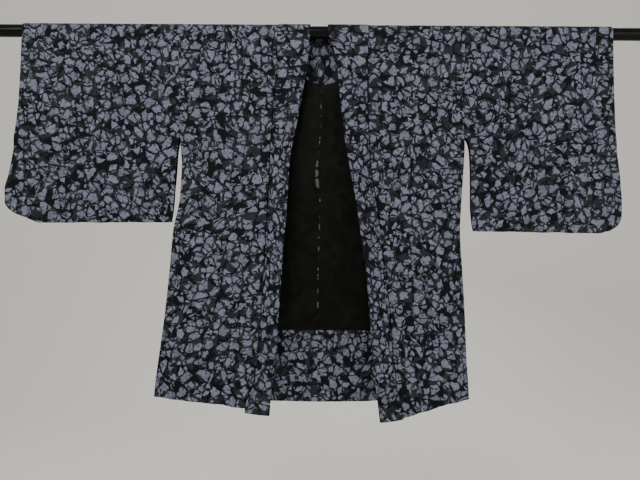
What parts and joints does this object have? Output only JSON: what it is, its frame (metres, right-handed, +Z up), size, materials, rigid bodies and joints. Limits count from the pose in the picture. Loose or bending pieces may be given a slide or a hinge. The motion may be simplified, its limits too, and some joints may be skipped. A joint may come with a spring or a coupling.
{
  "type": "haori jacket hung on a rod",
  "caption": "A short lined kimono jacket with wide sleeves and an open collar hangs flat on a straight round rod that runs through both sleeves.",
  "frame": {"origin": "the middle of the rod, on its axis, where the rod holds the garment", "axes": "+X along the rod toward the wearer's left sleeve, +Y toward the garment's back, +Z up; the open front faces -Y"},
  "size_m": [1.46, 0.0766, 0.875],
  "materials": {
    "patterned_cloth": "matt woven silk crepe, near-black ground with slate-lavender petals",
    "plain_lining": "smooth olive-black plain weave",
    "rod_paint": "gloss black paint"
  },
  "bodies": {
    "root": {"rod": "rod_paint", "front_right": "patterned_cloth", "back_right": "patterned_cloth", "gusset_right": "patterned_cloth", "collar_right": "patterned_cloth", "hem_turn_up_right": "patterned_cloth", "lining_right": "plain_lining", "sleeve_right_front": "patterned_cloth", "sleeve_right_back": "patterned_cloth", "front_left": "patterned_cloth", "back_left": "patterned_cloth", "gusset_left": "patterned_cloth", "collar_left": "patterned_cloth", "hem_turn_up_left": "patterned_cloth", "lining_left": "plain_lining", "sleeve_left_front": "patterned_cloth", "sleeve_left_back": "patterned_cloth", "collar_neck": "patterned_cloth"}
  },
  "joints": []
}
